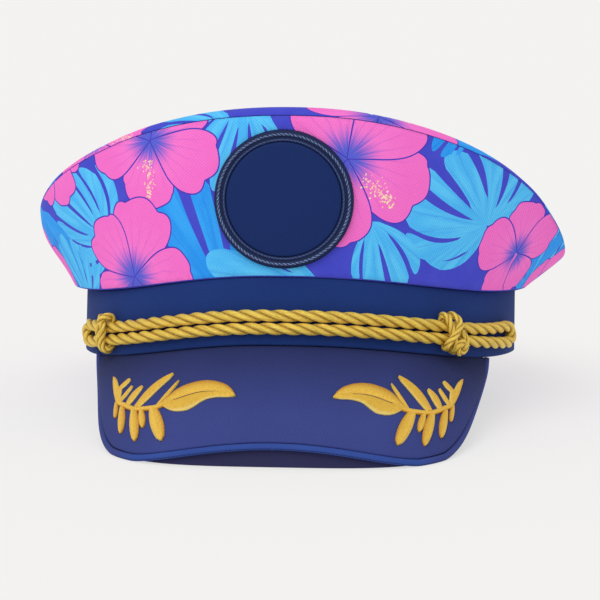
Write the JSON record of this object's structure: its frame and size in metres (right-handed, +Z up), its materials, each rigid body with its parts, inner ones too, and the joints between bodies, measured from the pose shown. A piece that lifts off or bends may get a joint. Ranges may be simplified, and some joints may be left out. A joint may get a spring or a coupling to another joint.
{
  "type": "captain hat",
  "caption": "Peaked captain's hat with a wide printed crown, plain band, steep rounded peak, round front patch, knotted gold cord and stitched leaf sprays, resting on its peak and band.",
  "frame": {"origin": "middle of the bottom of the hat as it rests, on the floor", "axes": "+Z up, the front and the peak towards -Y, the wearer's left towards +X"},
  "size_m": [0.2456, 0.2698, 0.1438],
  "materials": {
    "printed_cloth": "fine twill with a bright flower and leaf print, matt",
    "navy_band_cloth": "navy twill, matt",
    "navy_peak_cloth": "navy twill, matt",
    "under_peak_cloth": "dark navy cloth, matt",
    "badge_cloth": "smooth navy felt with a stitched border",
    "gold_cord": "twisted metallic gold thread, soft sheen",
    "gold_thread": "satin-stitched gold thread, soft sheen"
  },
  "bodies": {
    "root": {"hat_band": "navy_band_cloth", "crown_side": "printed_cloth", "crown_top": "printed_cloth", "peak_top": "navy_peak_cloth", "peak_under": "under_peak_cloth", "peak_piping": "navy_peak_cloth", "badge_patch": "badge_cloth", "badge_border": "badge_cloth", "gold_cord": "gold_cord", "cord_knot_left": "gold_cord", "cord_knot_right": "gold_cord", "leaf_spray_left": "gold_thread", "leaf_spray_right": "gold_thread"}
  },
  "joints": []
}
